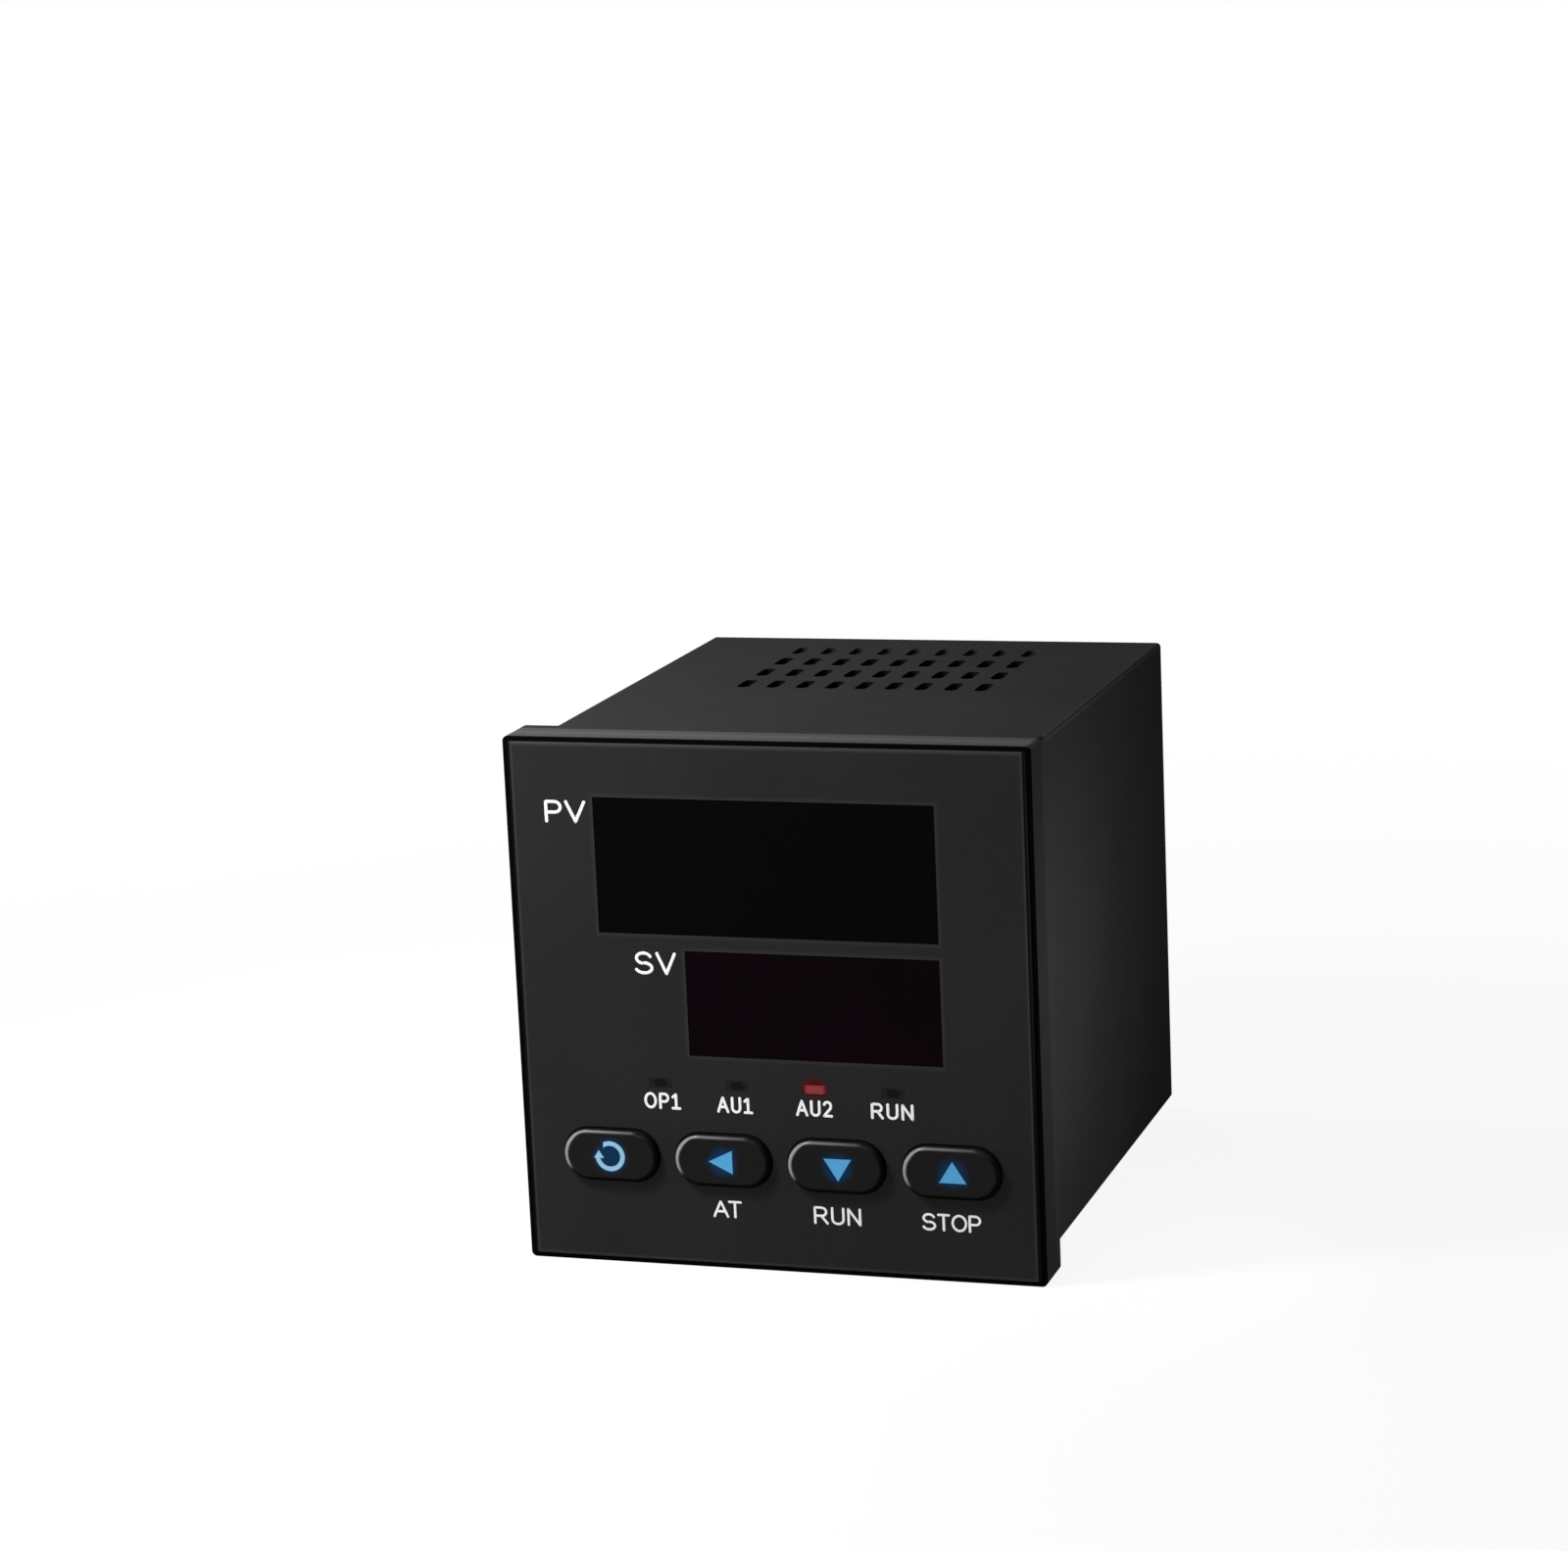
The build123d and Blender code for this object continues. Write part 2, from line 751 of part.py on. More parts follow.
def module_sockets():
    top = -board_face + module_socket_reach
    half = module_socket_depth / 2
    slot_half = module_board_thickness / 2 + module_socket_clearance
    outline = between(-board_face, top, -half, half)
    outline -= between(top - module_socket_slot_depth, top, -slot_half, slot_half)
    low = module_height_above_centre - module_socket_length / 2
    socket = layer(outline, low, low + module_socket_length)
    return [Pos(0, module_depth(n), 0) * socket for n in range(module_count)]


def module_board(number):
    """A plug-in card: a plate that stands in its socket on a narrower tongue."""
    slot_floor = -board_face + module_socket_reach - module_socket_slot_depth
    socket_top = -board_face + module_socket_reach
    tongue_half = module_socket_length / 2 - module_socket_clearance
    middle = module_height_above_centre
    outline = between(slot_floor, socket_top, middle - tongue_half, middle + tongue_half)
    card_half = module_board_height / 2
    outline += between(socket_top, -board_face + module_board_reach, middle - card_half, middle + card_half)
    front = module_depth(number) - module_board_thickness / 2
    return slab(outline, front, front + module_board_thickness)


def module_relay(number):
    """A sealed relay on the rear face of a plug-in card."""
    face = module_depth(number) + module_board_thickness / 2
    right = -board_face + module_board_reach
    middle = module_height_above_centre
    outline = between(right - relay_width, right, middle - relay_length / 2, middle + relay_length / 2)
    body = slab(outline, face, face + relay_depth)
    return chamfer(body.faces().sort_by(Axis.Y)[-1].edges(), relay_round)


def module_chip(number):
    """The line driver on the rear face of the communication card."""
    face = module_depth(number) + module_board_thickness / 2
    centre = -board_face + (module_socket_reach + module_board_reach) / 2
    outline = Pos(centre, module_height_above_centre) * Rectangle(module_chip_width, module_chip_length)
    return slab(outline, face, face + module_chip_thickness)


def capacitor(radius, length):
    """A can that stands on the plane X = 0 and reaches to the left, grooved near its foot."""
    outline = between(0, radius, -length, 0)
    outline -= Pos(radius, -capacitor_groove_position) * Circle(capacitor_groove_radius)
    can = revolve(Plane.XY * outline, Axis.Y)
    return Rot(0, 0, -90) * can


def mains_capacitor():
    can = capacitor(mains_capacitor_radius, mains_capacitor_length)
    return Pos(board_face, mains_capacitor_depth, mains_capacitor_height) * can


def output_capacitors():
    can = capacitor(output_capacitor_radius, output_capacitor_length)
    heights = [output_capacitor_height + n * output_capacitor_pitch for n in range(capacitor_count)]
    return [Pos(board_face, output_capacitor_depth, z) * can for z in heights]


def rectifier():
    place = Pos(rectifier_depth, rectifier_height_above_centre)
    outline = Rectangle(rectifier_length, rectifier_height)
    return side_plate(place * outline, board_face - rectifier_thickness, board_face)


def fuse():
    place = Pos(board_face - fuse_standoff, fuse_height)
    half = fuse_length / 2
    return slab(place * Circle(fuse_radius), fuse_depth - half, fuse_depth + half)


def fuse_clips():
    """Two spring clips, each a channel round the fuse on a foot that reaches the board."""
    inner = fuse_radius + fuse_clip_clearance
    outer = inner + fuse_clip_thickness
    ring = Circle(outer) - Circle(inner) - between(-outer, -inner / 2, -outer, outer)
    foot = between(inner + fuse_clip_thickness / 2, fuse_standoff, -inner / 2, inner / 2)
    clip = Pos(board_face - fuse_standoff, fuse_height) * (ring + foot)
    half = (fuse_length - fuse_clip_width) / 2
    clips = []
    for middle in (fuse_depth - half, fuse_depth + half):
        clips.append(slab(clip, middle - fuse_clip_width / 2, middle + fuse_clip_width / 2))
    return clips


def transformer_place():
    return Pos(0, transformer_depth, transformer_height)


def core_right():
    """The X position of the core's face towards the board."""
    return board_face - core_standoff


def transformer_core():
    """Two ferrite E halves in one block: a frame with a middle leg through the bobbin."""
    outline = Rectangle(core_length, core_height)
    window = (core_length - core_middle_leg - 2 * core_leg) / 2
    window_centre = (core_middle_leg + window) / 2
    window_height = core_height - 2 * core_leg
    for y in (-window_centre, window_centre):
        outline -= Pos(y, 0) * Rectangle(window, window_height)
    block = side_plate(outline, core_right() - core_thickness, core_right())
    return transformer_place() * block


def bobbin_section(grow):
    """The bobbin's tube round the middle leg, seen from above and grown outwards."""
    side = 2 * (bobbin_clearance + grow)
    centre = core_right() - core_thickness / 2
    return Pos(centre, 0) * Rectangle(core_thickness + side, core_middle_leg + side)


def transformer_bobbin():
    """A flanged tube whose lower flange carries a foot that stands on the board."""
    window_half = core_height / 2 - core_leg - bobbin_clearance
    tube = layer(bobbin_section(bobbin_wall), -window_half, window_half)
    flange_outline = bobbin_section(bobbin_wall + winding_thickness)
    foot_outline = between(core_right(), board_face, -core_middle_leg / 2, core_middle_leg / 2)
    for low in (-window_half, window_half - bobbin_flange):
        tube += layer(flange_outline + foot_outline, low, low + bobbin_flange)
    tube -= layer(bobbin_section(0), -window_half, window_half)
    return transformer_place() * tube


def transformer_winding():
    window_half = core_height / 2 - core_leg - bobbin_clearance - bobbin_flange
    coil = bobbin_section(bobbin_wall + winding_thickness - bobbin_clearance) - bobbin_section(bobbin_wall)
    return transformer_place() * layer(coil, -window_half, window_half)


def heat_sink():
    """A comb of fins on a base, standing on the board with its base to the rear."""
    rear = heat_sink_depth + heat_sink_length / 2
    outline = between(rear - heat_sink_base, rear, heat_sink_low, heat_sink_top)
    step = (heat_sink_height - heat_sink_fin_thickness) / (heat_sink_fins - 1)
    for n in range(heat_sink_fins):
        fin_low = heat_sink_low + n * step
        outline += between(rear - heat_sink_length, rear, fin_low, fin_low + heat_sink_fin_thickness)
    return side_plate(outline, board_face - heat_sink_reach, board_face)


def switching_transistor():
    """A flat transistor with its tab against the heat sink and its leads in the board."""
    face = heat_sink_depth + heat_sink_length / 2
    body_right = board_face - transistor_lead_length
    body_left = body_right - transistor_body_height
    middle = (heat_sink_low + heat_sink_top) / 2
    half = transistor_width / 2
    outline = between(body_left, body_right, middle - half, middle + half)
    tab = between(body_left - transistor_tab_height, body_right, middle - half, middle + half)
    body = slab(outline, face, face + transistor_thickness)
    body += slab(tab, face, face + transistor_tab_thickness)
    leads = Sketch()
    for n in (-1, 0, 1):
        z = middle + n * transistor_lead_pitch
        leads += between(body_right, board_face, z - transistor_lead_width / 2, z + transistor_lead_width / 2)
    return body + slab(leads, face + transistor_tab_thickness, face + 2 * transistor_tab_thickness)


def rear_pieces():
    """Everything that stays with the case."""
    block = terminal_block()
    sockets = board_socket()
    contacts = terminals()
    clamps = clamp_plates()
    screws = terminal_screws()
    return {
        "case": case(),
        "rear_cover": rear_cover(),
        "rear_cover_screws": rear_cover_screws(),
        "right_terminal_block": block,
        "left_terminal_block": opposite(block),
        "right_socket": sockets,
        "left_socket": opposite(sockets),
        "right_terminals": contacts,
        "left_terminals": [opposite(piece) for piece in contacts],
        "right_clamp_plates": clamps,
        "left_clamp_plates": [opposite(piece) for piece in clamps],
        "right_terminal_screws": screws,
        "left_terminal_screws": [opposite(piece) for piece in screws],
    }


def front_pieces():
    """Everything that the front frame and the display board carry."""
    pieces = {
        "bezel": bezel(),
        "face_plate": face_plate(),
        "pv_lens": lens(pv_window_width, pv_window_height, pv_place()),
        "sv_lens": lens(sv_window_width, sv_window_height, sv_place()),
        "pv_display": display_module(pv_window_width, pv_window_height, pv_place(), 4),
        "sv_display": display_module(sv_window_width, sv_window_height, sv_place(), 4),
        "display_board": display_board(),
        "display_board_screws": display_board_screws(),
        "key_switches": key_switches(),
    }
    lamp_names = ("output_lamp", "first_alarm_lamp", "second_alarm_lamp", "run_lamp")
    for name, place in zip(lamp_names, lamp_places()):
        pieces[name] = lamp(place)
    for name, place in zip(("set", "left", "down", "up"), key_places()):
        pieces[name + "_key"] = key(place)
        pieces[name + "_plunger"] = plunger(place)
    return pieces


def board_pieces():
    """The side boards and what stands on them."""
    header = board_header()
    return {
        "main_board": main_board(),
        "power_board": power_board(),
        "power_header": header,
        "main_header": opposite(header),
        "board_brace": board_brace(),
        "processor": processor(),
        "input_chip": input_chip(),
        "module_sockets": module_sockets(),
        "output_module": module_board(0),
        "output_relay": module_relay(0),
        "alarm_module": module_board(1),
        "alarm_relay": module_relay(1),
        "communication_module": module_board(2),
        "communication_chip": module_chip(2),
        "mains_capacitor": mains_capacitor(),
        "output_capacitors": output_capacitors(),
        "rectifier": rectifier(),
        "fuse": fuse(),
        "fuse_clips": fuse_clips(),
        "transformer_core": transformer_core(),
        "transformer_bobbin": transformer_bobbin(),
        "transformer_winding": transformer_winding(),
        "heat_sink": heat_sink(),
        "switching_transistor": switching_transistor(),
    }


def write_parts():
    os.makedirs("parts", exist_ok=True)
    for pieces in (rear_pieces(), front_pieces(), board_pieces()):
        for name, piece in pieces.items():
            if isinstance(piece, list):
                piece = Compound(children=piece)
            export_step(piece, f"parts/{name}.step")


write_parts()
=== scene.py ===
import math

import bmesh
import bpy
from mathutils import Matrix, Vector


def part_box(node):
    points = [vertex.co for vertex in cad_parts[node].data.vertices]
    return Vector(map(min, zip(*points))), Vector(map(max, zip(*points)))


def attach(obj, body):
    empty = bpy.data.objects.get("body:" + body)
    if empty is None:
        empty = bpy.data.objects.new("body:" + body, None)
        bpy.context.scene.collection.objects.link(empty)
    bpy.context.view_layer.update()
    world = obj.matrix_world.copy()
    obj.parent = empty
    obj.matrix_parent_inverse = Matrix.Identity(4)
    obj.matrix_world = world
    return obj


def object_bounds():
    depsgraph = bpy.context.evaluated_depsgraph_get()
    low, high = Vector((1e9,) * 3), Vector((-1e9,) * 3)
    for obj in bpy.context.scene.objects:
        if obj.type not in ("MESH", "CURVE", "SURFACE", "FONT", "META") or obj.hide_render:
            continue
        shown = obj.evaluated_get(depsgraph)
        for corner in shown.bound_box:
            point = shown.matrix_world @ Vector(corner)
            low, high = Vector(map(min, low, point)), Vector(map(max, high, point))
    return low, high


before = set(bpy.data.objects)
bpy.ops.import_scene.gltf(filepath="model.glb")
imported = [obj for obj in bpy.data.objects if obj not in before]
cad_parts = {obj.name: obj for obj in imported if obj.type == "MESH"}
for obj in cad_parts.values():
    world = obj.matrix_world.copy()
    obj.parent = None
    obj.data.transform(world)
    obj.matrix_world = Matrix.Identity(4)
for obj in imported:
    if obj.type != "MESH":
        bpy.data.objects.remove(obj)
cad_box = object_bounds()

MM = 0.001
X, Y, Z = 0, 1, 2


def span(name, axis):
    """The middle and the half width of a CAD node along an axis, in millimetres."""
    low, high = (corner[axis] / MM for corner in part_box(name))
    return (low + high) / 2, (high - low) / 2


def front_of(name):
    middle, half = span(name, Y)
    return middle - half


# Sizes and places in millimetres that the nodes' boxes don't give
FLANGE_OVERHANG = 2.25
OPEN_SLOTS_END = 80.0
SLOTS_WITHIN = 40.0
LENS_LIP = 0.9
LAMP_FADE = (1.9, 0.95)
KEY_LIP = 1.0
RELAY_SEAM = -14.0
BOARD_GRID = 2.54
CONTACT_PITCH = 8.0
TONGUE_START = 76.5
CHIP_LEADS = 0.4
TRANSISTOR_TAB = 1.3
TRANSISTOR_LEADS = 4.0
CAPACITOR_PITCH = 11.0
TAPE_TURN = 1.9
INK_THICKNESS = 0.03

CASE_HALF = span("case", X)[1] - FLANGE_OVERHANG
BOARD_FACE = span("power_board", X)[0] - span("power_board", X)[1]
LIT_LAMP, LAMP_ROW = span("second_alarm_lamp", X)[0], span("second_alarm_lamp", Z)[0]
LAMP_PITCH = 2 * LIT_LAMP


def seen(red, green, blue):
    """A colour given as it is seen, from 0 to 255, as the shader wants it."""
    channels = [c / 255 for c in (red, green, blue)]
    linear = [c / 12.92 if c < 0.04045 else ((c + 0.055) / 1.055) ** 2.4 for c in channels]
    return (*linear, 1.0)


class Value:
    """A number that varies over a surface, with its sums written as Python ones."""

    def __init__(self, finish, socket):
        self.finish = finish
        self.socket = socket

    def sum(self, operation, first, second=0.0):
        return self.finish.node("ShaderNodeMath", {"operation": operation}, {0: first, 1: second})

    def __add__(self, other):
        return self.sum("ADD", self, other)

    def __radd__(self, other):
        return self.sum("ADD", other, self)

    def __sub__(self, other):
        return self.sum("SUBTRACT", self, other)

    def __rsub__(self, other):
        return self.sum("SUBTRACT", other, self)

    def __mul__(self, other):
        return self.sum("MULTIPLY", self, other)

    def __rmul__(self, other):
        return self.sum("MULTIPLY", other, self)

    def __truediv__(self, other):
        return self.sum("DIVIDE", self, other)

    def __mod__(self, other):
        return self.sum("FLOORED_MODULO", self, other)

    def __pow__(self, other):
        return self.sum("POWER", self, other)

    def __lt__(self, other):
        return self.sum("LESS_THAN", self, other)

    def __or__(self, other):
        return self.sum("MAXIMUM", self, other)

    def __and__(self, other):
        return self.sum("MINIMUM", self, other)

    def __abs__(self):
        return self.sum("ABSOLUTE", self)


class Finish:
    """A material under construction, with places and distances in millimetres."""

    def __init__(self, name):
        self.material = bpy.data.materials.new(name)
        self.material.use_nodes = True
        self.tree = self.material.node_tree
        self.shader = self.tree.nodes["Principled BSDF"]
        metres = {0: self.node("ShaderNodeTexCoord", out="Object"), "Scale": 1 / MM}
        self.place = self.node("ShaderNodeVectorMath", {"operation": "SCALE"}, metres)
        self.x, self.y, self.z = (
            self.node("ShaderNodeSeparateXYZ", sockets={0: self.place}, out=axis) for axis in "XYZ"
        )

    def node(self, kind, settings=None, sockets=None, out=0):
        """Adds a node: first its settings, then the values or links of its sockets."""
        made = self.tree.nodes.new(kind)
        for name, setting in (settings or {}).items():
            setattr(made, name, setting)
        for key, value in (sockets or {}).items():
            self.fill(made.inputs[key], value)
        return Value(self, made.outputs[out])

    def fill(self, socket, value):
        if isinstance(value, Value):
            self.tree.links.new(value.socket, socket)
        else:
            socket.default_value = value

    def set(self, **sockets):
        """Fills the shader's sockets: base_color stands for Base Color."""
        for name, value in sockets.items():
            words = name.replace("_", " ").title().replace("Ior", "IOR")
            self.fill(self.shader.inputs[words], value)
        return self

    def mix(self, factor, first, second):
        sockets = {0: factor, 6: first, 7: second}
        return self.node("ShaderNodeMix", {"data_type": "RGBA"}, sockets, out=2)

    def toned(self, colour, value):
        """A colour made lighter or darker by a varying value."""
        grey = self.node("ShaderNodeCombineColor", sockets={0: value, 1: value, 2: value})
        product = {"data_type": "RGBA", "blend_type": "MULTIPLY"}
        return self.node("ShaderNodeMix", product, {0: 1.0, 6: colour, 7: grey}, out=2)

    def ramp(self, value, low, high):
        """Rises smoothly from 0 at low to 1 at high."""
        sockets = {"Value": value, "From Min": low, "From Max": high}
        return self.node("ShaderNodeMapRange", {"interpolation_type": "SMOOTHSTEP"}, sockets)

    def noise(self, size, detail=2.0, stretch=(1, 1, 1), distortion=0.0):
        """Clouds or grain of a size in millimetres."""
        place = self.node("ShaderNodeMapping", sockets={"Vector": self.place, "Scale": stretch})
        sockets = {"Vector": place, "Scale": 1 / size, "Detail": detail, "Distortion": distortion}
        return self.node("ShaderNodeTexNoise", sockets=sockets)

    def chance(self, along, pitch):
        """A random number for each square of a grid."""
        corner = {0: along - along % pitch, 1: self.z - self.z % pitch, 2: pitch}
        square = self.node("ShaderNodeCombineXYZ", sockets=corner)
        return self.node("ShaderNodeTexWhiteNoise", {"noise_dimensions": "3D"}, {"Vector": square})

    def relief(self, height, depth):
        """Raises the surface by a depth in millimetres where height is 1."""
        normal = self.node("ShaderNodeBump", sockets={"Height": height, "Distance": depth * MM})
        return self.set(normal=normal)

    def on(self, *names):
        """Puts the finished material on CAD nodes."""
        for name in names:
            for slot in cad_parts[name].material_slots:
                slot.material = self.material


# Plastics


def moulded(name, colour, gloss=0.0, grain=0.5, depth=0.015, rough=0.6):
    """Dark plastic from an etched mould: cloudy tone, fine grain and a thin uneven gloss."""
    f = Finish(name)
    cloud = f.noise(28, detail=3)
    fine = f.noise(grain, detail=3)
    f.colour = f.toned(colour, 0.72 + 0.36 * cloud + 0.2 * fine)
    f.set(base_color=f.colour, roughness=rough + 0.15 * cloud, specular_ior_level=0.0)
    f.set(coat_roughness=0.32)
    if gloss:
        f.set(coat_weight=gloss * (0.6 + 0.8 * fine))
    return f.relief(fine, depth)


def case_edge(f, across):
    """1 on the outermost strip of the case, across it."""
    return f.ramp(abs(across), CASE_HALF - 1, CASE_HALF - 1 / 3)


def case_finish():
    """The case: a painted highlight along its long edges, and painted shade inside it and in its open
    air slots.
    """
    f = moulded("moulded_case", seen(45, 45, 46), gloss=0.012)
    # painted highlight: the case's long edges paler, from the flange back
    corner = case_edge(f, f.x) * case_edge(f, f.z) * f.ramp(f.y, 0.0, 0.2)
    painted_edge_highlight = f.mix(corner * 0.5, f.colour, seen(88, 88, 90))
    # painted shade: the case's inside and the walls of its open slots dark, the blind row only faintly
    blind_row = f.ramp(f.y, OPEN_SLOTS_END, OPEN_SLOTS_END + 2)
    below_skin = 1 - f.ramp(abs(f.z), CASE_HALF - 0.07, CASE_HALF - 0.01)
    slots = below_skin * (1 - f.ramp(abs(f.x), SLOTS_WITHIN, SLOTS_WITHIN + 2)) * (1 - blind_row)
    painted_inner_shade = 1 - f.ramp((abs(f.x) | abs(f.z)) + 0.5 * blind_row, CASE_HALF - 0.55, CASE_HALF - 0.05)
    f.set(base_color=f.mix((painted_inner_shade | slots) * 0.85, painted_edge_highlight, seen(6, 6, 6)))
    return f


def bezel_finish():
    """The band of the front frame, with a painted highlight along its top and painted shade on the rim
    round the plate.
    """
    f = moulded("moulded_front_frame", seen(36, 36, 37))
    behind = f.y - front_of("bezel")
    top = span("bezel", Z)[1]
    # painted highlight: the top of the band paler, in two bands across its depth
    above = f.ramp(f.z, top - 0.8, top - 0.2)
    painted_highlight_bands = f.ramp(behind, 2.05, 3.05) * (1 - f.ramp(behind, 4.45, 5.45))
    lit = f.mix(above * (0.75 + 0.25 * painted_highlight_bands), f.colour, seen(75, 75, 76))
    # painted shade: the rim's front edge dark round the plate
    rim = 1 - f.ramp(behind, 0.15, 0.45)
    f.set(base_color=f.mix(rim, lit, seen(7, 7, 7)), coat_weight=0.02 * (1 - rim))
    return f


def outside_window(f, lens):
    """How far a point of the front lies outside the window that a lens fills."""
    (x, half_x), (z, half_z) = span(lens, X), span(lens, Z)
    return abs(f.x - x) - (half_x - LENS_LIP) | abs(f.z - z) - (half_z - LENS_LIP)


def plate_finish():
    """Satin black print, with painted highlights by the edges and windows, painted shade at both sides,
    and a painted red glow round the lit lamp.
    """
    f = moulded("printed_front_plate", seen(36, 36, 36), gloss=0.05, grain=0.35, depth=0.006, rough=0.5)
    half = span("face_plate", X)[1]
    # painted highlight: paler along the plate's edges and round the windows
    edge = f.ramp(abs(f.x) + 0.4 | abs(f.z), half - 0.8, half - 0.4)
    # painted shade: both sides of the plate dark
    side = f.ramp(abs(f.x), half - 0.75, half - 0.5)
    rim = 1 - f.ramp(outside_window(f, "pv_lens") & outside_window(f, "sv_lens"), 0.2, 0.9)
    painted_edge_highlight = f.mix(edge * 0.5 | rim * 0.25, f.colour, seen(60, 60, 61))
    # painted glow: the lit lamp's red light on the plate round it, in colour and emission
    aside = (f.x - LIT_LAMP) / 3.7
    above = (f.z - LAMP_ROW - 0.3) / 2.7
    glow = (1 - f.ramp((aside * aside + above * above) ** 0.5, 0.25, 1.0)) ** 1.6
    f.set(base_color=f.mix(side, f.mix(glow, painted_edge_highlight, seen(20, 0, 0)), seen(7, 7, 7)))
    f.set(emission_color=f.mix(glow, (0, 0, 0, 1), (0.07, 0.001, 0.001, 1)), emission_strength=1.0)
    return f


def window_finish(name, tint):
    """Smoked acrylic, smooth and glossy, with faint smears."""
    f = Finish(name)
    smear = f.noise(14, detail=4, distortion=0.6)
    f.set(base_color=f.mix(smear, tint, seen(4, 4, 4)), roughness=0.06 + 0.1 * smear)
    f.set(specular_ior_level=0.0, coat_weight=0.01 + 0.02 * smear, coat_roughness=0.03)
    return f.relief(f.noise(22), 0.004)


def lamp_finish():
    """An unlit red lamp, nearly black in its middle, that fades into the print round it."""
    f = Finish("lamp_unlit")
    haze = f.noise(0.7, detail=3)
    dark = f.mix(haze, seen(9, 8, 8), seen(16, 12, 12))
    from_nearest = f.x % LAMP_PITCH - LAMP_PITCH / 2
    aside = from_nearest / LAMP_FADE[0]
    above = (f.z - LAMP_ROW) / LAMP_FADE[1]
    edge = f.ramp(aside * aside + above * above, 0.2, 1.0)
    f.set(base_color=f.mix(edge * 0.9, dark, seen(33, 32, 32)), roughness=0.25 + 0.2 * haze)
    return f.set(specular_ior_level=0.05).relief(haze, 0.01)


def lit_lamp_finish():
    """The lit red lamp: brightest in its middle."""
    f = Finish("lamp_lit")
    aside = (f.x - LIT_LAMP) / LAMP_FADE[0]
    above = (f.z - LAMP_ROW) / LAMP_FADE[1]
    core = 1 - f.ramp(abs(aside) | abs(above), 0.55, 1.15)
    haze = f.noise(0.5, detail=2)
    light = f.mix(core * (0.75 + 0.5 * haze), seen(84, 9, 11), seen(126, 50, 53))
    f.set(base_color=seen(40, 8, 10), roughness=0.3 + 0.2 * haze, specular_ior_level=0.1)
    return f.set(emission_color=light, emission_strength=1.0).relief(haze, 0.01)


# Keys with their printed signs

LIGHT_BLUE = seen(140, 186, 212)
BLUE = seen(84, 160, 210)


def inside(distance, soft):
    """1 where a distance is below 0, over a soft edge."""
    return (0.5 - distance / soft) & 1.0 | 0.0


def left_arrow(u, v):
    """How far a point is outside a triangle that points to the left."""
    return (u - 1.8) | (abs(v) * 0.9 - (u + 2.6) * 0.44)


def down_arrow(u, v):
    return (v - 1.65) | (abs(u) * 0.85 - (v + 2.4) * 0.53)


def up_arrow(u, v):
    return (-1.65 - v) | (abs(u) * 0.85 - (2.25 - v) * 0.54)


def turn_arrow(u, v):
    """A ring, open at its upper left, with an arrowhead on its left end."""
    ring = abs((u * u + v * v) ** 0.5 - 2.35) - 0.42
    opening = (u + 1.15) | (-0.3 - v)
    head = (-0.4 - v) | (abs(u + 2.1) * 0.86 - (1.05 - v) * 0.55)
    return (ring | (-0.05 - opening)) & head


def key_finish(name, sign, shift, ink):
    """A black moulded key: its sign printed on the crown, a painted highlight on its rim at the upper
    left and painted shade on its rim at the lower right.
    """
    f = moulded("moulded_" + name, seen(19, 18, 18), grain=0.4, depth=0.004, rough=0.45)
    (x, half_length), (z, half_height) = span(name, X), span(name, Z)
    round_end = half_length - half_height
    edge = half_height - KEY_LIP
    along = f.x - x
    above = f.z - z
    beside = along - shift
    outside = sign(beside, above)
    crown = 1 - f.ramp(f.y - front_of(name), 0.1, 0.2)
    reach = (beside * beside + above * above) ** 0.5
    halo = (1 - f.ramp(outside & (reach - 2.2) | (reach - 2.8), -0.6, 1.1)) * crown
    tinted = f.mix(halo, f.colour, seen(2, 42, 76))
    aside = along - (along & round_end | -round_end)
    radius = (aside * aside + above * above) ** 0.5
    facing = (above * 0.7 - aside * 0.7) / radius
    # painted shade: the rim dark at the lower right
    shaded = (1 - f.ramp(abs(radius - edge + 0.275), 0.2, 0.65)) * (1 - f.ramp(facing, -0.3, 0.4))
    # painted highlight: a pale line on the rim from the left end along the top
    left = f.ramp(-1.0 * aside / radius, 0.3, 0.9)
    line = 1 - f.ramp(abs(radius + left * 0.2 - edge + 0.375), 0.05, 0.32 + left * 0.2)
    fade = 1 - 0.5 * f.ramp(along, -7, -3) - 0.3 * f.ramp(along, -3, 5)
    fade = fade * (1 - f.ramp(along, 3.8, 5.2)) * f.ramp(facing, 0.0, 0.45)
    painted_rim_light_and_shade = f.mix(line * fade, f.mix(shaded, tinted, seen(15, 14, 14)), seen(132, 132, 133))
    printed = f.toned(ink, 0.88 + 0.24 * f.noise(0.8, detail=3))
    f.set(base_color=f.mix(inside(outside, 0.12) * crown, painted_rim_light_and_shade, printed))
    return f.set(coat_weight=0.15 * (1 - shaded), coat_roughness=0.2)


# Boards, metals and parts


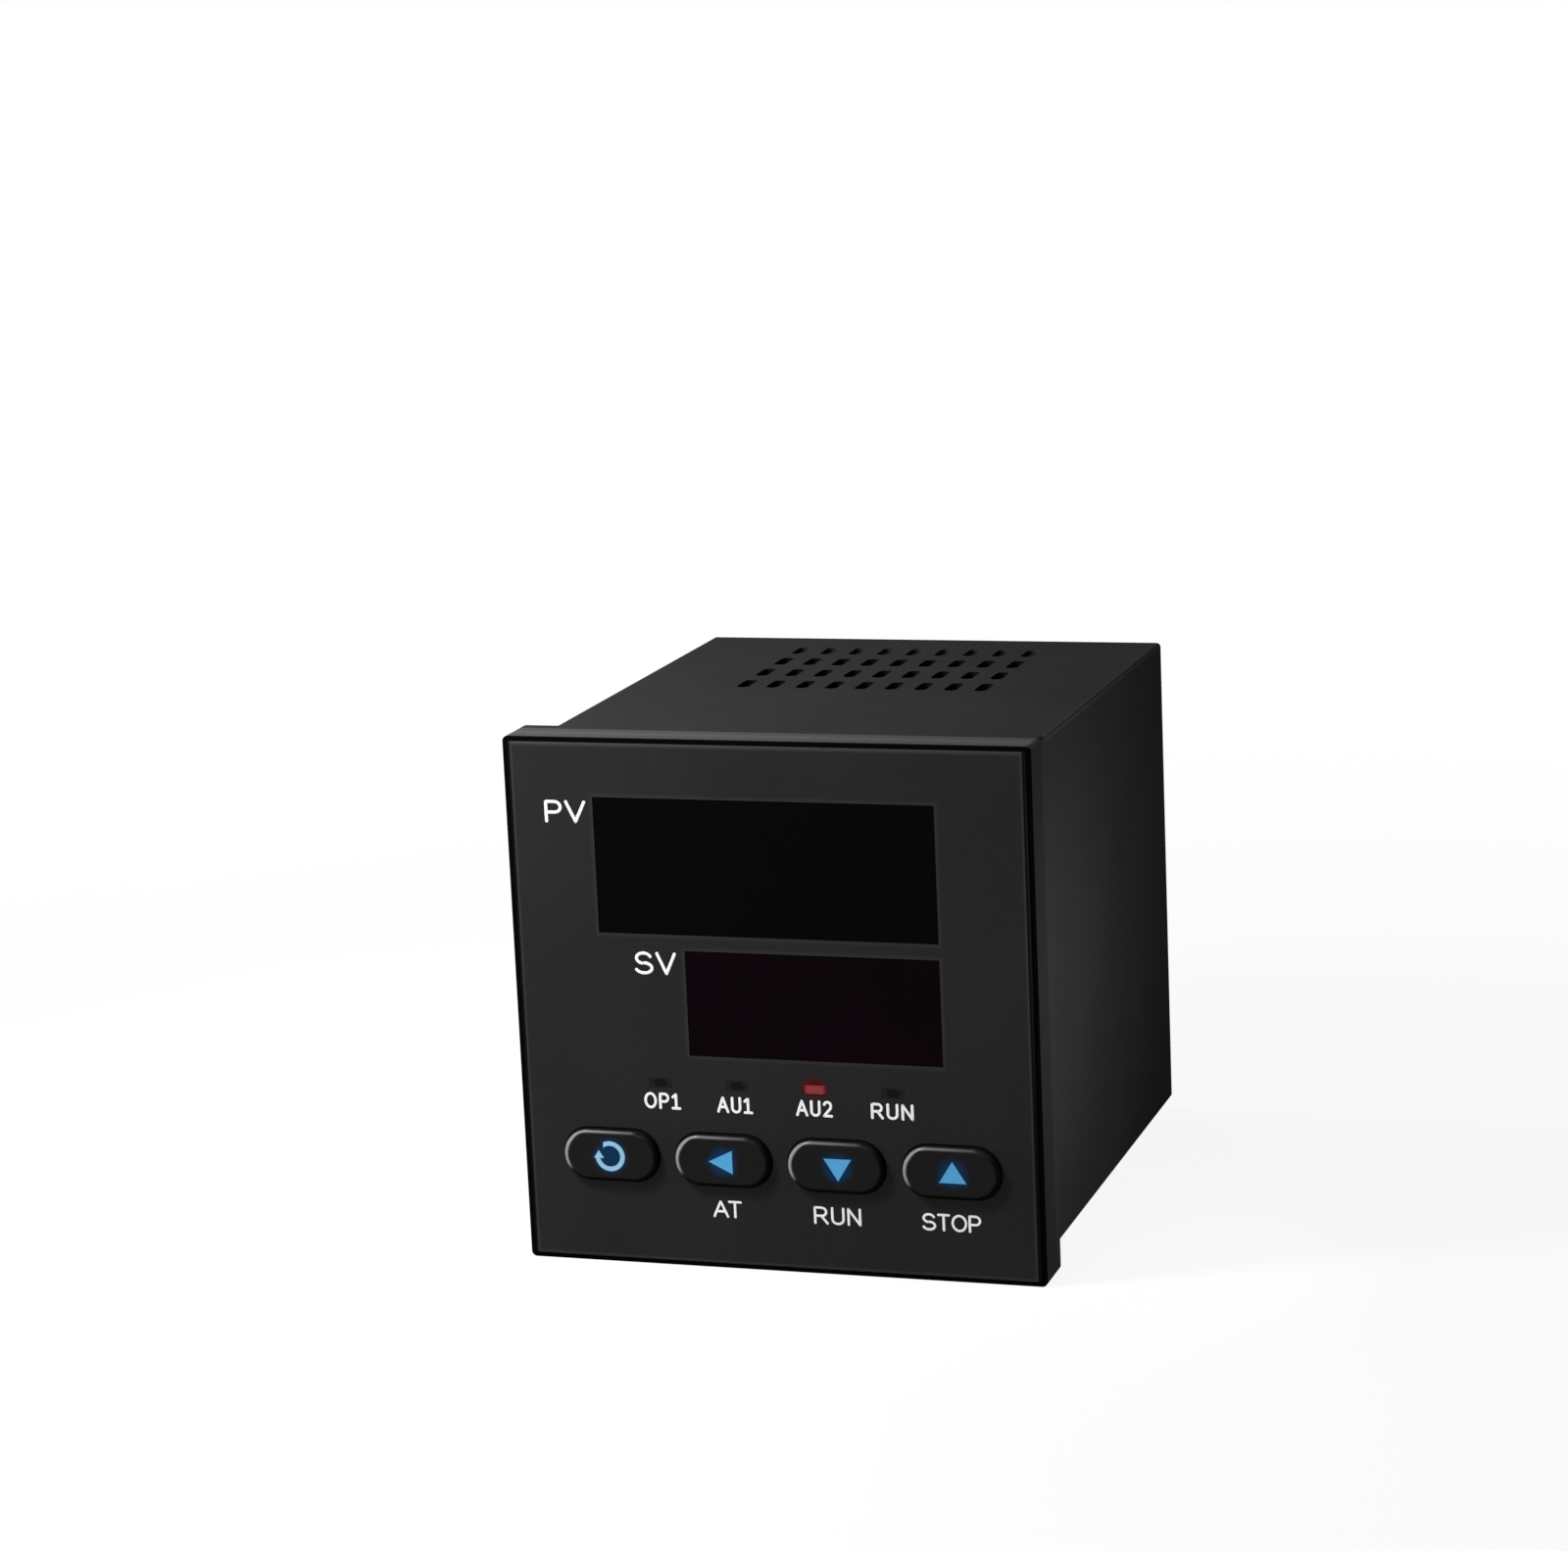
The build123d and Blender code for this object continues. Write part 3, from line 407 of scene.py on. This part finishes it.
def board_finish(name, upright):
    """Green laminate with tracks, rows of pads and gold contact fingers at the rear edge."""
    f = Finish(name)
    along = f.y if upright else f.x
    column, row = (n % BOARD_GRID - BOARD_GRID / 2 for n in (along, f.z))
    reach = (column * column + row * row) ** 0.5
    used = (f.chance(along, BOARD_GRID) < 0.5) * (f.chance(along, 4 * BOARD_GRID) < 0.7)
    used = used * (1 - f.ramp(f.y, TONGUE_START - 1.0, TONGUE_START - 0.9))
    jog = f.noise(9, detail=0) * 6
    lane = (f.z + (jog - jog % 1.0) * 0.65) % 1.3
    area = f.ramp(f.noise(16, detail=1), 0.46, 0.5)
    track = inside(abs(lane - 0.65) - 0.2, 0.1) * area
    pad = inside(reach - 0.62, 0.08) * used
    hole = inside(reach - 0.28, 0.08) * used
    mask = f.mix(track, seen(12, 74, 44), seen(30, 112, 66))
    weave = f.noise(0.5, detail=2)
    mask = f.mix(weave * 0.35, mask, seen(8, 52, 32))
    tinned = f.mix(hole, seen(190, 188, 180), seen(12, 12, 12))
    colour = f.mix(pad, mask, tinned)
    metal = pad - hole
    if upright:
        finger = inside(abs(f.z % CONTACT_PITCH - CONTACT_PITCH / 2) - 2.1, 0.15)
        finger = finger * f.ramp(f.y, TONGUE_START + 0.7, TONGUE_START + 0.8)
        colour = f.mix(finger, colour, seen(214, 176, 92))
        metal = metal | finger
    f.set(base_color=colour, metallic=metal | 0.0, roughness=0.3 + 0.25 * weave)
    return f.relief(track * 0.7 + metal, 0.04)


def duller(colour, share):
    return (*(c * share for c in colour[:3]), 1.0)


def nylon_finish(name, colour):
    """Plain moulded parts inside and behind the case, slightly cloudy."""
    f = Finish(name)
    cloud = f.noise(9, detail=3)
    f.set(base_color=f.mix(cloud, colour, duller(colour, 0.8)), roughness=0.42 + 0.2 * cloud)
    return f.set(specular_ior_level=0.3).relief(f.noise(0.5), 0.008)


def metal_finish(name, colour, roughness, stretch):
    """Plated or rolled metal with fine marks along one direction."""
    f = Finish(name)
    marks = f.noise(0.6, detail=4, stretch=stretch)
    patches = f.noise(3.5, detail=2)
    f.set(base_color=f.mix(marks * 0.5 + patches * 0.3, colour, duller(colour, 0.7)))
    f.set(metallic=1.0, roughness=roughness + 0.22 * patches)
    return f.relief(marks, 0.012)


def chip_leads(f):
    """The layer that the leads lie in, next to the board."""
    start = BOARD_FACE - CHIP_LEADS
    return f.ramp(abs(f.x), start - 0.05, start)


def transistor_leads(f):
    """The transistor's tab as well as its leads."""
    tab = front_of("switching_transistor") + TRANSISTOR_TAB
    start = BOARD_FACE - TRANSISTOR_LEADS
    return (1 - f.ramp(f.y, tab - 0.02, tab + 0.02)) | f.ramp(f.x, start, start + 0.05)


def epoxy_finish(name, leads=None):
    """Moulded epoxy, with tinned leads where they are given."""
    f = Finish(name)
    speck = f.noise(0.35, detail=4)
    colour = f.mix(speck, seen(26, 26, 27), seen(44, 44, 45))
    f.set(base_color=colour, roughness=0.5 + 0.2 * speck, specular_ior_level=0.3)
    if leads:
        tinned = leads(f)
        f.set(base_color=f.mix(tinned, colour, seen(196, 194, 188)), metallic=tinned)
    return f.relief(speck, 0.01)


def relay_finish():
    """A relay's smooth blue cover, with the seam between its two halves."""
    f = Finish("relay_cover")
    peel = f.noise(3, detail=2)
    seam = inside(abs(f.x - RELAY_SEAM) - 0.15, 0.1)
    f.set(base_color=f.mix(seam | peel * 0.3, seen(30, 74, 150), seen(14, 34, 84)))
    return f.set(roughness=0.28 + 0.15 * peel, specular_ior_level=0.4).relief(peel, 0.01)


def capacitor_finish(name, node, rows):
    """Shrunk sleeves with a pale stripe and a bare aluminium end, in rows above the node's middle."""
    (x, half_length), (y, radius), (z, _) = (span(node, axis) for axis in (X, Y, Z))
    end = x - half_length
    f = Finish(name)
    wrinkle = f.noise(2.0, detail=2, stretch=(0.3, 1, 1))
    colour = f.mix(wrinkle, seen(14, 20, 44), seen(22, 30, 62))
    stripe = bare = 0.0
    for row in rows:
        off_y, off_z = f.y - y, f.z - (z + row)
        near = (off_y * off_y + off_z * off_z) ** 0.5
        here = inside(near - radius * 1.05, 0.1)
        side = f.ramp(off_z / radius, 0.86, 0.88) * here
        top = inside(near - radius * 0.8, 0.1) * (1 - f.ramp(f.x, end + 0.02, end + 0.05))
        stripe = side | stripe
        bare = top | bare
    colour = f.mix(stripe, colour, seen(170, 176, 186))
    f.set(base_color=f.mix(bare, colour, seen(190, 192, 196)), metallic=bare)
    return f.set(roughness=0.3 + 0.15 * wrinkle).relief(wrinkle, 0.02)


def ferrite_finish():
    f = Finish("ferrite")
    speck = f.noise(0.45, detail=4)
    f.set(base_color=f.mix(speck, seen(48, 48, 52), seen(84, 84, 88)), roughness=0.55 + 0.2 * speck)
    return f.relief(speck, 0.02)


def tape_finish():
    """Winding tape in overlapping turns."""
    f = Finish("winding_tape")
    turn = f.z % TAPE_TURN
    lap = inside(turn - 0.25, 0.1)
    wrinkle = f.noise(1.4, detail=3)
    f.set(base_color=f.mix(lap | wrinkle * 0.4, seen(226, 180, 60), seen(178, 128, 30)))
    return f.set(roughness=0.3 + 0.2 * wrinkle).relief(turn * 0.4 + wrinkle * 0.3, 0.03)


def fuse_finish():
    """A ceramic tube between plated caps."""
    f = Finish("fuse_tube")
    middle, half = span("fuse", Y)
    cap = f.ramp(abs(f.y - middle), half / 2, half / 2 + 0.05)
    marks = f.noise(0.8, detail=3)
    tube = f.mix(marks, seen(232, 228, 218), seen(214, 208, 196))
    f.set(base_color=f.mix(cap, tube, seen(186, 186, 182)), metallic=cap, roughness=0.25 + 0.2 * marks)
    return f.relief(cap, 0.05)


def display_finish():
    """The filled face of a digit block."""
    f = Finish("display_face")
    fill = f.noise(1.2, detail=3)
    f.set(base_color=f.mix(fill, seen(30, 30, 32), seen(42, 42, 44)), roughness=0.4 + 0.2 * fill)
    return f.relief(fill, 0.01)


def ink_finish():
    """White screen print, very slightly uneven."""
    f = Finish("legend_ink")
    mottle = f.noise(0.5, detail=3)
    f.set(base_color=f.mix(mottle, seen(244, 244, 244), seen(228, 228, 229)))
    return f.set(roughness=0.55 + 0.2 * mottle, specular_ior_level=0.2).relief(mottle, 0.004)


def dress_nodes():
    """Gives every CAD node its finish."""
    case_finish().on("case")
    bezel_finish().on("bezel")
    plate_finish().on("face_plate")
    window_finish("upper_window", seen(7, 7, 7)).on("pv_lens")
    window_finish("lower_window", seen(17, 5, 12)).on("sv_lens")
    lamp_finish().on("output_lamp", "first_alarm_lamp", "run_lamp")
    lit_lamp_finish().on("second_alarm_lamp")
    key_finish("set_key", turn_arrow, 0.0, LIGHT_BLUE).on("set_key")
    key_finish("left_key", left_arrow, 0.2, BLUE).on("left_key")
    key_finish("down_key", down_arrow, 0.5, BLUE).on("down_key")
    key_finish("up_key", up_arrow, 0.4, BLUE).on("up_key")
    board_finish("side_board_laminate", True).on("main_board", "power_board")
    board_finish("display_board_laminate", False).on(
        "display_board", "output_module", "alarm_module", "communication_module"
    )
    cover = moulded("moulded_cover", seen(50, 50, 51), gloss=0.05, grain=0.7, depth=0.02)
    cover.on("rear_cover", "right_terminal_block", "left_terminal_block", "board_brace")
    nylon_finish("natural_nylon", seen(206, 200, 180)).on(
        "right_socket", "left_socket", "power_header", "main_header"
    )
    metal_finish("tinned_brass", seen(216, 206, 176), 0.26, (1, 0.2, 1)).on(
        "right_terminals", "left_terminals", "fuse_clips"
    )
    metal_finish("zinc_steel", seen(198, 198, 196), 0.28, (0.2, 1, 1)).on(
        "rear_cover_screws", "right_clamp_plates", "left_clamp_plates", "right_terminal_screws",
        "left_terminal_screws", "display_board_screws"
    )
    metal_finish("extruded_aluminium", seen(206, 208, 210), 0.3, (0.08, 1, 1)).on("heat_sink")
    display_finish().on("pv_display", "sv_display")
    epoxy_finish("chip_epoxy", chip_leads).on("processor", "input_chip")
    epoxy_finish("plain_epoxy").on("communication_chip", "rectifier", "module_sockets")
    epoxy_finish("transistor_epoxy", transistor_leads).on("switching_transistor")
    relay_finish().on("output_relay", "alarm_relay")
    capacitor_finish("mains_capacitor_sleeve", "mains_capacitor", [0.0]).on("mains_capacitor")
    pair = [-CAPACITOR_PITCH / 2, CAPACITOR_PITCH / 2]
    capacitor_finish("output_capacitor_sleeve", "output_capacitors", pair).on("output_capacitors")
    ferrite_finish().on("transformer_core")
    nylon_finish("phenolic_bobbin", seen(92, 72, 48)).on("transformer_bobbin")
    tape_finish().on("transformer_winding")
    fuse_finish().on("fuse")
    nylon_finish("switch_housing", seen(40, 40, 42)).on("key_switches")
    nylon_finish("switch_plunger", seen(58, 56, 54)).on(
        "set_plunger", "left_plunger", "down_plunger", "up_plunger"
    )


# Legends


def add_piece(name, mesh, finish, body):
    piece = bpy.data.objects.new(name, mesh)
    bpy.context.collection.objects.link(piece)
    mesh.materials.clear()
    mesh.materials.append(finish.material)
    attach(piece, body)
    return piece


# A letter's straight strokes, each from one point to another, in a cell one high
LETTERS = {
    "P": ((0, 0, 0, 1), (0, 1, 0.34, 1), (0, 0.45, 0.34, 0.45)),
    "R": ((0, 0, 0, 1), (0, 1, 0.36, 1), (0, 0.47, 0.36, 0.47), (0.34, 0.47, 0.66, 0)),
    "V": ((0, 1, 0.38, 0), (0.38, 0, 0.76, 1)),
    "A": ((0, 0, 0.37, 1), (0.37, 1, 0.74, 0), (0.13, 0.33, 0.61, 0.33)),
    "U": ((0, 0.3, 0, 1), (0.6, 0.3, 0.6, 1)),
    "N": ((0, 0, 0, 1), (0, 1, 0.62, 0), (0.62, 0, 0.62, 1)),
    "T": ((0, 1, 0.62, 1), (0.31, 1, 0.31, 0)),
    "1": ((0.02, 0.8, 0.27, 1), (0.27, 1, 0.27, 0), (0, 0, 0.54, 0)),
    "2": ((0.49, 0.55, 0, 0), (0, 0, 0.56, 0)),
}
# A letter's curves: the centre, the half width, the half height, and both angles in degrees
ARCS = {
    "P": ((0.34, 0.725, 0.27, 0.275, 90, -90),),
    "R": ((0.36, 0.735, 0.25, 0.265, 90, -90),),
    "S": ((0.35, 0.74, 0.31, 0.26, 22, 252), (0.35, 0.255, 0.35, 0.255, 84, -158)),
    "O": ((0.4, 0.5, 0.4, 0.5, 0, 360),),
    "U": ((0.3, 0.3, 0.3, 0.3, 180, 360),),
    "2": ((0.27, 0.73, 0.26, 0.27, 160, -42),),
}


def arc(x, z, across, up, start, end, steps=16):
    """Points along part of an ellipse, between two angles in degrees."""
    angles = [math.radians(start + (end - start) * n / steps) for n in range(steps + 1)]
    return [(x + across * math.cos(a), z + up * math.sin(a)) for a in angles]


def letter_strokes(letter):
    """A letter's strokes as runs of points, in a cell one high."""
    straight = [[line[:2], line[2:]] for line in LETTERS.get(letter, ())]
    return straight + [arc(*curve) for curve in ARCS.get(letter, ())]


def word_strokes(word, gap):
    strokes, left = [], 0.0
    for letter in word:
        drawn = letter_strokes(letter)
        strokes += [[(x + left, z) for x, z in run] for run in drawn]
        left += max(x for run in drawn for x, z in run) + gap
    return strokes


def fitted(strokes, centre, size, pen):
    """The strokes moved to a place on the front, and stretched so that the pen fills the size."""
    across = max(x for run in strokes for x, z in run)
    wide, high = (size[0] - pen) / across, size[1] - pen
    return [
        [((x - across / 2) * wide + centre[0], (z - 0.5) * high + centre[1]) for x, z in run]
        for run in strokes
    ]


def tubes(name, runs, pen):
    """A mesh of round tubes along runs of points."""
    line = bpy.data.curves.new(name, "CURVE")
    line.dimensions = "3D"
    line.bevel_depth = pen / 2
    line.bevel_resolution = 3
    for run in runs:
        spline = line.splines.new("POLY")
        spline.points.add(len(run) - 1)
        for point, (x, z) in zip(spline.points, run):
            point.co = (x, 0, z, 1)
    holder = bpy.data.objects.new(name, line)
    bpy.context.collection.objects.link(holder)
    bpy.context.view_layer.update()
    shown = holder.evaluated_get(bpy.context.evaluated_depsgraph_get())
    mesh = bpy.data.meshes.new_from_object(shown)
    bpy.data.objects.remove(holder)
    return mesh


def legend(name, word, node, offset, size, pen, gap, finish):
    """A word on the front plate in flattened round strokes, with its sizes in millimetres."""
    centre = [span(node, axis)[0] + shift for axis, shift in zip((X, Z), offset)]
    runs = fitted(word_strokes(word, gap), centre, size, pen)
    shape = bmesh.new()
    shape.from_mesh(tubes(name, runs, pen))
    for run in runs:
        for x, z in (run[0], run[-1]):
            place = Matrix.Translation((x, 0, z))
            bmesh.ops.create_uvsphere(shape, u_segments=12, v_segments=8, radius=pen / 2, matrix=place)
    for face in shape.faces:
        face.smooth = True
    flat = Matrix.Diagonal((1, INK_THICKNESS / pen, 1, 1))
    place = Matrix.Scale(MM, 4) @ Matrix.Translation((0, front_of("face_plate"), 0)) @ flat
    bmesh.ops.transform(shape, matrix=place, verts=shape.verts)
    mesh = bpy.data.meshes.new(name)
    shape.to_mesh(mesh)
    shape.free()
    return add_piece(name, mesh, finish, "chassis")


WINDOW_PEN = 0.6
LAMP_PEN = 0.52
KEY_PEN = 0.47

# A legend's name, its word, the node that it stands by, its place from that node's middle, its size,
# the pen's width and the gap between letters
WORDS = (
    ("process_value", "PV", "pv_lens", (-36.25, 9.5), (7.75, 4.1), WINDOW_PEN, 0.24),
    ("set_value", "SV", "sv_lens", (-28.75, 7.1), (7.9, 4.2), WINDOW_PEN, 0.24),
    ("output", "OP1", "output_lamp", (0.25, -3.35), (6.9, 3.07), LAMP_PEN, 0.36),
    ("first_alarm", "AU1", "first_alarm_lamp", (-0.55, -3.5), (6.7, 3.06), LAMP_PEN, 0.36),
    ("second_alarm", "AU2", "second_alarm_lamp", (-0.19, -3.4), (6.8, 3.04), LAMP_PEN, 0.36),
    ("run_lamp", "RUN", "run_lamp", (-0.25, -3.3), (7.8, 3.0), LAMP_PEN, 0.36),
    ("left_key", "AT", "left_key", (0.275, -9.1), (5.4, 3.23), KEY_PEN, 0.1),
    ("down_key", "RUN", "down_key", (-0.275, -9.25), (8.74, 3.31), KEY_PEN, 0.28),
    ("up_key", "STOP", "up_key", (-0.425, -9.3), (10.76, 3.24), KEY_PEN, 0.22),
)


def legends():
    ink = ink_finish()
    for name, *form in WORDS:
        legend(name + "_legend", *form, ink)


# Studio


# The photograph's camera, by a least-squares fit of the front's and the case's corners:
# azimuth, elevation and roll in degrees, place in metres, lens and sensor in millimetres
CAMERA_ANGLES = (18.225, 11.917, -2.536)
CAMERA_PLACE = (0.224395, -0.679055, 0.190782)
CAMERA_LENS = 95.884
CAMERA_SENSOR = 36.0

# The rays that see the white background, and the world's strength for all others
DIRECT_RAYS = ("Is Camera Ray", "Is Glossy Ray", "Is Transmission Ray")
AMBIENT = 0.08

# A light's name, its place, the point that it looks at, its width, its power and its spread
LIGHTS = (
    ("key_light", (-0.15, -0.11, 0.2), (0, 0, 0), 0.06, 1.0, 180),
    ("left_light", (-0.36, -0.07, 0.0), (0, 0, 0), 0.05, 0.45, 180),
    ("front_light", (-0.15, -0.7, 0.3), (0, 0, 0), 0.4, 1.5, 180),
    ("side_light", (0.125, 0.0, 0.0), (0.046, 0.01, 0.01), 0.05, 0.036, 130),
    ("top_light", (-0.18, 0.12, 0.11), (0, 0.05, 0.046), 0.06, 0.3, 180),
    ("back_light", (-0.4, 0.5, 0.0), (0, 0.1, 0), 0.3, 4.0, 180),
)


def add_camera():
    azimuth, elevation, roll = (math.radians(angle) for angle in CAMERA_ANGLES)
    flat = math.cos(elevation)
    back = Vector((math.sin(azimuth) * flat, -math.cos(azimuth) * flat, math.sin(elevation)))
    right = Vector((math.cos(azimuth), math.sin(azimuth), 0))
    up = back.cross(right)
    across = right * math.cos(roll) + up * math.sin(roll)
    upright = up * math.cos(roll) - right * math.sin(roll)
    camera = bpy.data.objects.new("camera", bpy.data.cameras.new("camera"))
    bpy.context.collection.objects.link(camera)
    turn = Matrix((across, upright, back)).transposed().to_4x4()
    camera.matrix_world = Matrix.Translation(CAMERA_PLACE) @ turn
    camera.data.sensor_fit = "HORIZONTAL"
    camera.data.sensor_width = CAMERA_SENSOR
    camera.data.lens = CAMERA_LENS
    camera.data.clip_start = 0.01
    camera.data.clip_end = 50.0
    bpy.context.scene.camera = camera


def add_light(name, place, aim, size, power, spread):
    """A square soft light that looks at a point and isn't seen by the camera itself."""
    lamp = bpy.data.lights.new(name, "AREA")
    lamp.shape = "SQUARE"
    lamp.spread = math.radians(spread)
    lamp.size = size
    lamp.energy = power
    holder = bpy.data.objects.new(name, lamp)
    bpy.context.collection.objects.link(holder)
    turn = (Vector(aim) - Vector(place)).to_track_quat("-Z", "Y")
    holder.matrix_world = Matrix.Translation(place) @ turn.to_matrix().to_4x4()
    holder.visible_camera = False


def add_world():
    """White behind the object and in its reflections, and a plain soft light on it."""
    world = bpy.data.worlds.new("studio")
    world.use_nodes = True
    bpy.context.scene.world = world
    nodes, links = world.node_tree.nodes, world.node_tree.links
    nodes.clear()
    rays = nodes.new("ShaderNodeLightPath")
    seen_by = rays.outputs[DIRECT_RAYS[0]]
    for name in DIRECT_RAYS[1:]:
        add = nodes.new("ShaderNodeMath")
        add.operation = "ADD"
        add.use_clamp = True
        links.new(seen_by, add.inputs[0])
        links.new(rays.outputs[name], add.inputs[1])
        seen_by = add.outputs[0]
    lighting = nodes.new("ShaderNodeBackground")
    lighting.inputs["Strength"].default_value = AMBIENT
    white = nodes.new("ShaderNodeBackground")
    for background in (lighting, white):
        background.inputs["Color"].default_value = (1, 1, 1, 1)
    mix = nodes.new("ShaderNodeMixShader")
    links.new(seen_by, mix.inputs[0])
    links.new(lighting.outputs[0], mix.inputs[1])
    links.new(white.outputs[0], mix.inputs[2])
    links.new(mix.outputs[0], nodes.new("ShaderNodeOutputWorld").inputs[0])


def add_floor(level):
    """A plain pale floor that fades into the white behind it and keeps a soft shadow."""
    shape = bmesh.new()
    place = Matrix.Translation((0, 0, level))
    bmesh.ops.create_circle(shape, cap_ends=True, segments=64, radius=6.0, matrix=place)
    mesh = bpy.data.meshes.new("floor")
    shape.to_mesh(mesh)
    shape.free()
    floor = bpy.data.objects.new("floor", mesh)
    bpy.context.collection.objects.link(floor)
    f = Finish("pale_floor")
    pale = f.mix(f.noise(60, detail=2), (0.9, 0.9, 0.9, 1), (0.94, 0.94, 0.94, 1))
    white = f.node("ShaderNodeEmission", sockets={"Strength": 1.0})
    camera_rays, glossy_rays, clear_rays = (
        f.node("ShaderNodeLightPath", out=kind) for kind in DIRECT_RAYS
    )
    f.set(base_color=f.mix(camera_rays, (0.4, 0.4, 0.4, 1), pale))
    f.set(roughness=0.9, specular_ior_level=0.0)
    far = f.ramp((f.x * f.x + f.y * f.y) ** 0.5, 120, 500)
    share = (camera_rays + glossy_rays + clear_rays) * (0.9 + 0.1 * far)
    painted = Value(f, f.shader.outputs[0])
    mixed = f.node("ShaderNodeMixShader", sockets={0: share, 1: painted, 2: white})
    f.fill(f.tree.nodes["Material Output"].inputs["Surface"], mixed)
    mesh.materials.append(f.material)


def studio():
    bpy.context.scene.view_settings.view_transform = "Standard"
    add_world()
    add_floor(cad_box[0][Z])
    for light in LIGHTS:
        add_light(*light)


dress_nodes()
legends()
add_camera()
studio()
